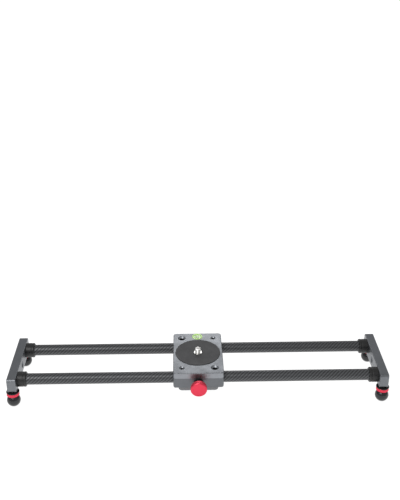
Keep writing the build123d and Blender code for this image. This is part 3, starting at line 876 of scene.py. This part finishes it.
def build_pad():
    """The camera pad: a disc whose top is a raised rim round a field of low diamonds.

    Inside the rim the height is -depth * |sin(pi (x + y) / pitch) * sin(pi (x - y) / pitch)|^0.5.
    """
    low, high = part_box("camera_pad")
    radius = (high.x - low.x) / 2
    hole = span("screw_collar").x / 2 + CLEARANCE * MM
    edge, rim = 0.5 * MM, 1.8 * MM
    pitch, depth = detail().diamond_pitch, detail().diamond_depth
    segments = 540
    angle = np.linspace(0, TURN, segments, endpoint=False)
    turn = np.linspace(0, math.pi / 2, 5)
    corner = np.stack((radius - edge + edge * np.cos(turn), high.z - edge + edge * np.sin(turn)), axis=-1)
    field = np.linspace(radius - edge - 0.1 * MM, hole + 0.3 * MM, 110)
    top = np.stack((field, np.full(len(field), high.z)), axis=-1)
    inner = np.array([(hole, high.z - 0.3 * MM), (hole, low.z)])
    profile = np.concatenate((np.array([(radius, low.z)]), corner, top, inner))
    r = np.repeat(profile[:, :1], segments, axis=1)
    z = np.repeat(profile[:, 1:], segments, axis=1)
    x, y = r * np.cos(angle), r * np.sin(angle)
    ribs = np.abs(np.sin(math.pi * (x + y) / pitch) * np.sin(math.pi * (x - y) / pitch)) ** 0.5
    on_top = (z > high.z - 0.01 * MM) & (r < radius - rim) & (r > hole + 1.0 * MM)
    fade = np.clip((radius - rim - r) / (0.8 * MM), 0, 1)
    z = np.where(on_top, high.z - depth * (1 - ribs) * fade, z)
    mesh = grid_mesh("camera_pad_rubber", np.stack((x, y, z), axis=-1), True)
    piece = in_scene("camera_pad_rubber", mesh)
    return place(piece, "carriage", finish("matt_rubber"), "pad_rubber", "camera_pad")


def build_camera_stud():
    """The camera stud: a 3/8 inch thread with a chamfered tip and a screwdriver slot cut across it."""
    low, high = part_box("camera_screw")
    radius = (high.x - low.x) / 2
    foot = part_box("screw_collar")[1].z
    slot_width, slot_depth = 1.6 * MM, 1.8 * MM
    piece = thread(
        "camera_stud_thread",
        (0, 0, foot),
        UP,
        radius,
        0.62 * MM,
        detail().stud_pitch,
        0.0,
        high.z - foot,
        96,
        lead=0.9 * MM,
    )
    reach = np.array([radius * 2, slot_width / 2, slot_depth])
    signs = np.array([(x, y, z) for z in (-1, 1) for x, y in ((-1, -1), (1, -1), (1, 1), (-1, 1))], float)
    cutter_points = (signs * reach + np.array((0, 0, high.z))).reshape(2, 4, 3)
    cutter = in_scene("stud_slot_cutter", grid_mesh("stud_slot_cutter", cutter_points, False))
    cut = piece.modifiers.new("Slot", "BOOLEAN")
    cut.operation = "DIFFERENCE"
    cut.solver = "EXACT"
    cut.object = cutter
    bpy.context.view_layer.update()
    slotted = bpy.data.meshes.new_from_object(piece.evaluated_get(bpy.context.evaluated_depsgraph_get()))
    piece.modifiers.clear()
    piece.data = slotted
    bpy.data.objects.remove(cutter)
    return place(piece, "carriage", finish("nickel_steel"), "bright_steel", "camera_screw")


def build_stud_shank():
    """The stud's plain shank, from its shoulder down past its nut."""
    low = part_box("camera_screw")[0]
    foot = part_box("screw_collar")[1].z
    radius = SHANK_RADIUS / MM
    height = (foot - low.z) / MM
    profile = outline([(0.0, 0.0), (radius, 0.0), (radius, height), (0.0, height)], 0.2)
    piece = turned("camera_stud_shank", (0, 0, low.z), UP, profile, 48)
    return place(piece, "carriage", finish("nickel_steel"), "bright_steel")


def build_stud_collar():
    """The bright collar under the stud's shoulder, with a rounded rim."""
    low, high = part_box("screw_collar")
    radius = (high.x - low.x) / 2 / MM
    bore = SHANK_RADIUS / MM + CLEARANCE
    height = (high.z - low.z) / MM
    section = ring_section(bore, radius, height, 0.3)
    piece = turned("stud_collar_ring", (0, 0, low.z), UP, section, 72, closed=True)
    return place(piece, "carriage", finish("nickel_steel"), "bright_steel", "screw_collar")


def build_level():
    """The spirit level: a pale green cup with a rolled rim, its fluid and its lens."""
    low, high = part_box("level_housing")
    centre = middle("level_housing")
    radius = (high.x - low.x) / 2 / MM
    height = (high.z - low.z) / MM
    fluid_low, fluid_high = (corner.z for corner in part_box("level_liquid"))
    inside = span("level_liquid").x / 2 / MM
    foot = (centre.x, centre.y, low.z)
    bore, base = inside + CLEARANCE, 1.2
    corners = [(0.0, 0.0), (radius, 0.0), (radius, height), (bore, height), (bore, base), (0.0, base)]
    cup = outline(corners, 0.45)
    cup_piece = turned("level_cup", foot, UP, cup, 72)
    place(cup_piece, "carriage", finish("level_fluid"), "level_fluid", "level_housing")
    depth = (fluid_high - fluid_low) / MM
    fluid = outline([(0.0, 0.0), (inside, 0.0), (inside, depth), (0.0, depth)], 0.2)
    fluid_piece = turned("level_fluid_body", (centre.x, centre.y, fluid_low), UP, fluid, 72)
    place(fluid_piece, "carriage", finish("level_fluid"), "level_fluid", "level_liquid")
    lens_low, lens_high = (corner.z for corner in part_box("level_lens"))
    crown, fall = np.linspace(0, 1, 13), 0.22
    sag = (lens_high - lens_low) / MM * (1 - fall * crown**2)
    top = np.stack((inside * crown, sag), axis=-1)[::-1]
    lens = np.concatenate((np.array([(0.0, 0.02), (inside, 0.02)]), top)) * MM
    lens_piece = turned("level_lens_cap", (centre.x, centre.y, lens_low), UP, lens, 72)
    place(lens_piece, "carriage", finish("clear_acrylic"), "clear_acrylic", "level_lens")
    return [cup_piece, fluid_piece, lens_piece]


def build_bubble():
    """The level's bubble, a flattened ball, inside the ring printed on the lens."""
    centre = middle("level_lens")
    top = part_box("level_lens")[1].z
    fluid_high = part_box("level_liquid")[1].z
    angle = np.linspace(-math.pi / 2, math.pi / 2, 17)
    radius, half_height = 2.1, 0.55
    bubble = np.stack((radius * np.cos(angle), half_height * np.sin(angle)), axis=-1) * MM
    place_at = (0.4 * MM, centre.y + 0.3 * MM, fluid_high - 0.35 * MM)
    bubble_piece = turned("level_bubble", place_at, UP, bubble, 48)
    place(bubble_piece, "carriage", finish("clear_acrylic"), "clear_acrylic")
    ring_radius, wire, wire_height = 3.3, 0.22, 0.06
    turn = np.linspace(0, TURN, 12, endpoint=False)
    wire_profile = np.stack((ring_radius + wire * np.cos(turn), wire_height * np.sin(turn)), axis=-1) * MM
    ring_piece = turned("level_ring", (0, centre.y, top + 0.02 * MM), UP, wire_profile, 72, closed=True)
    place(ring_piece, "carriage", finish("printed_black"), "black_steel")
    return [bubble_piece, ring_piece]


def build_tapped_holes():
    """Thread ridges in the slab's four accessory holes and in the end plates' middle holes."""
    pieces, ridge, end_gap = [], 0.26, 0.1 * MM
    for mount in frame["record"]["mounts"]:
        if mount["kind"] != "threaded_hole":
            continue
        wall = mount["dims"]["r_mm"] * MM
        half = mount["dims"]["length_mm"] * MM / 2
        small = wall < 3 * MM
        pitch = detail().small_pitch if small else detail().stud_pitch
        on_slab = abs(mount["axis"][2]) > 0.5
        piece = thread_liner(
            mount["name"] + "_thread",
            mount["pos_m"],
            mount["axis"],
            wall,
            pitch * ridge,
            pitch,
            -half + end_gap,
            half - end_gap,
        )
        body = "carriage" if on_slab else "rail_frame"
        # The ridges take the dark black_oxide finish partly for oil in the threads and partly as painted
        # shade in the holes, which are tapped in bare aluminium.
        pieces.append(place(piece, body, finish("black_oxide"), "bare_aluminium"))
    return pieces


FRAME_FINISHES = {
    "end_plate_left": "anodised_grey",
    "end_plate_right": "anodised_grey",
    "carriage_body": "carriage_grey",
    "lower_frame": "moulded_grey",
    "tube_plugs": "turned_aluminium",
    "tube_screws": "black_oxide",
    "screw_washer": "nickel_steel",
    "screw_nut": "nickel_steel",
    "bearing_inner_races": "bearing_steel",
    "roller_sleeves": "bearing_steel",
    "roller_spacers": "bearing_steel",
    "roller_shims": "bearing_steel",
    "roller_bolts": "black_oxide",
    "brake_bush": "black_oxide",
    "brake_screw": "nickel_steel",
    "brake_shoe": "turned_aluminium",
    "brake_lining": "lining_nylon",
}
for corner_name in CORNERS:
    FRAME_FINISHES["roller_" + corner_name] = "roller_nylon"
    FRAME_FINISHES["bearing_outer_races_" + corner_name] = "bearing_steel"
    FRAME_FINISHES["bearing_balls_" + corner_name] = "bearing_steel"


# ---- Stage ----


def build_camera(stage):
    """The camera: back from its aim by the distance, along its azimuth and elevation."""
    back = Vector(
        (
            math.sin(stage.azimuth) * math.cos(stage.elevation),
            -math.cos(stage.azimuth) * math.cos(stage.elevation),
            math.sin(stage.elevation),
        )
    )
    right = Vector((math.cos(stage.azimuth), math.sin(stage.azimuth), 0))
    up = back.cross(right)
    rail_middle = Vector((0, 0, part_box("end_plate_left")[1].z))
    data = bpy.data.cameras.new("slider_camera")
    data.lens = stage.lens
    camera = in_scene("slider_camera", data)
    turn = Matrix((right, up, back)).transposed().to_4x4()
    aim = rail_middle + right * stage.aim_right + up * stage.aim_up
    camera.matrix_world = Matrix.Translation(aim + back * stage.distance) @ turn
    bpy.context.scene.camera = camera
    return camera


def softbox(name, place_at, size, power):
    """A rectangular area light at a place, aimed at the origin."""
    data = bpy.data.lights.new(name, "AREA")
    data.shape = "RECTANGLE"
    data.size, data.size_y = size
    data.energy = power
    light = in_scene(name, data)
    facing = Vector(place_at).to_track_quat("Z", "Y").to_matrix().to_4x4()
    light.matrix_world = Matrix.Translation(place_at) @ facing
    return light


def paper_floor():
    """White paper lit from below, as a light table is, and more strongly out in front."""
    material, tree, shader, place_on = start_material("paper_floor")
    texture = use_group(tree, surface_grain, Place=place_on, Size=2.0 * MM)
    tone = mixed(tree, texture.outputs["Mottle"], (0.29, 0.29, 0.29), (0.30, 0.30, 0.30))
    tree.links.new(tone, shader.inputs["Base Color"])
    forward = add(tree, "SeparateXYZ", Vector=place_on).outputs[1]
    near, far = -0.10, -0.30
    glow = add(tree, "MapRange", Value=forward, From_Min=near, From_Max=far, To_Min=0.93, To_Max=1.05)
    tree.links.new(glow.outputs[0], shader.inputs["Emission Strength"])
    shader.inputs["Emission Color"].default_value = (1, 1, 1, 1)
    shader.inputs["Roughness"].default_value = 0.9
    shader.inputs["Specular IOR Level"].default_value = 0.0
    return material


def build_floor():
    """A wide flat floor under the feet: a square grid at one height."""
    level = CAD_BOX[0].z - 0.05 * MM
    reach, count = 8.0, 9
    side = np.linspace(-reach, reach, count)
    x, y = np.meshgrid(side, side)
    points = np.stack((x, y, np.full_like(x, level)), axis=-1).reshape(-1, 3)
    index = np.arange(count * count).reshape(count, count)
    quads = np.stack((index[:-1, :-1], index[:-1, 1:], index[1:, 1:], index[1:, :-1]), axis=-1).reshape(-1, 4)
    mesh = bpy.data.meshes.new("paper_floor")
    mesh.from_pydata(points.tolist(), [], quads.tolist())
    floor = in_scene("paper_floor", mesh)
    mesh.materials.append(finish("paper_floor"))
    return floor


def build_world(strength):
    """Even pale surroundings, a little darker low down than overhead."""
    world = bpy.data.worlds.new("studio")
    bpy.context.scene.world = world
    world.use_nodes = True
    tree = world.node_tree
    tree.nodes.clear()
    direction = add(tree, "TexCoord").outputs["Generated"]
    parts = add(tree, "SeparateXYZ", Vector=direction)
    height = add(tree, "MapRange", Value=parts.outputs[2], From_Min=-0.1, From_Max=0.9)
    sky = mixed(tree, height.outputs[0], (0.80, 0.81, 0.83), (1.0, 1.0, 1.0))
    background = add(tree, "Background", Color=sky, Strength=strength)
    output = add(tree, "OutputWorld")
    tree.links.new(background.outputs[0], output.inputs[0])


# ---- Operators ----


class SLIDER_OT_stage(bpy.types.Operator):
    """Set up the camera, the lights and the floor"""

    bl_idname = "slider.stage"
    bl_label = "Stage"

    def execute(self, context):
        stage = context.scene.slider_stage
        build_camera(stage)
        build_floor()
        build_world(stage.daylight)
        softbox("front_softbox", (-0.55, -1.0, 1.3), (1.1, 0.8), stage.key)
        softbox("back_softbox", (0.05, 1.5, 0.85), (0.55, 0.4), stage.back)
        context.scene.view_settings.view_transform = "Standard"
        return {"FINISHED"}


class SLIDER_OT_tubes(bpy.types.Operator):
    """Build the carbon tubes and their bumper collars"""

    bl_idname = "slider.tubes"
    bl_label = "Tubes and collars"

    def execute(self, context):
        for node in ("carbon_tube_front", "carbon_tube_rear"):
            build_tube(node, "rail_frame")
        for corner in CORNERS:
            build_collar("tube_collar_" + corner, "rail_frame")
        return {"FINISHED"}


class SLIDER_OT_feet(bpy.types.Operator):
    """Build the levelling feet: washers, lock rings, studs and balls"""

    bl_idname = "slider.feet"
    bl_label = "Feet"

    def execute(self, context):
        build_washers()
        for corner in CORNERS:
            build_lock_ring(corner)
            build_foot_stud(corner)
            build_ball(corner)
        return {"FINISHED"}


class SLIDER_OT_pad(bpy.types.Operator):
    """Build the camera pad"""

    bl_idname = "slider.pad"
    bl_label = "Camera pad"

    def execute(self, context):
        build_pad()
        return {"FINISHED"}


class SLIDER_OT_stud(bpy.types.Operator):
    """Build the camera stud and its collar"""

    bl_idname = "slider.stud"
    bl_label = "Camera stud"

    def execute(self, context):
        build_camera_stud()
        build_stud_shank()
        build_stud_collar()
        return {"FINISHED"}


class SLIDER_OT_level(bpy.types.Operator):
    """Build the spirit level"""

    bl_idname = "slider.level"
    bl_label = "Spirit level"

    def execute(self, context):
        build_level()
        build_bubble()
        return {"FINISHED"}


class SLIDER_OT_knob(bpy.types.Operator):
    """Build the lock knob"""

    bl_idname = "slider.knob"
    bl_label = "Lock knob"

    def execute(self, context):
        build_knob()
        return {"FINISHED"}


class SLIDER_OT_threads(bpy.types.Operator):
    """Cut the threads of the accessory holes"""

    bl_idname = "slider.threads"
    bl_label = "Tapped holes"

    def execute(self, context):
        build_tapped_holes()
        return {"FINISHED"}


class SLIDER_OT_finishes(bpy.types.Operator):
    """Give the frame's own pieces their finishes"""

    bl_idname = "slider.finishes"
    bl_label = "Frame finishes"

    def execute(self, context):
        for node, name in FRAME_FINISHES.items():
            coat_node(node, finish(name))
        return {"FINISHED"}


STEPS = ("stage", "tubes", "feet", "pad", "stud", "level", "knob", "threads", "finishes")


class SLIDER_PT_panel(bpy.types.Panel):
    """Lists the slider's building steps"""

    bl_idname = "SLIDER_PT_panel"
    bl_label = "Camera Slider"
    bl_space_type = "VIEW_3D"
    bl_region_type = "UI"
    bl_category = "Slider"

    def draw(self, context):
        for step in STEPS:
            self.layout.operator("slider." + step)


CLASSES = (
    SliderDetail,
    SliderColours,
    SliderStage,
    SLIDER_OT_stage,
    SLIDER_OT_tubes,
    SLIDER_OT_feet,
    SLIDER_OT_pad,
    SLIDER_OT_stud,
    SLIDER_OT_level,
    SLIDER_OT_knob,
    SLIDER_OT_threads,
    SLIDER_OT_finishes,
    SLIDER_PT_panel,
)


def register():
    for cls in CLASSES:
        bpy.utils.register_class(cls)
    bpy.types.Scene.slider_detail = PointerProperty(type=SliderDetail)
    bpy.types.Scene.slider_colours = PointerProperty(type=SliderColours)
    bpy.types.Scene.slider_stage = PointerProperty(type=SliderStage)


def unregister():
    del bpy.types.Scene.slider_stage
    del bpy.types.Scene.slider_colours
    del bpy.types.Scene.slider_detail
    for cls in reversed(CLASSES):
        bpy.utils.unregister_class(cls)


def main():
    register()
    for step in STEPS:
        getattr(bpy.ops.slider, step)()
    bpy.context.view_layer.update()


if __name__ == "__main__":
    main()
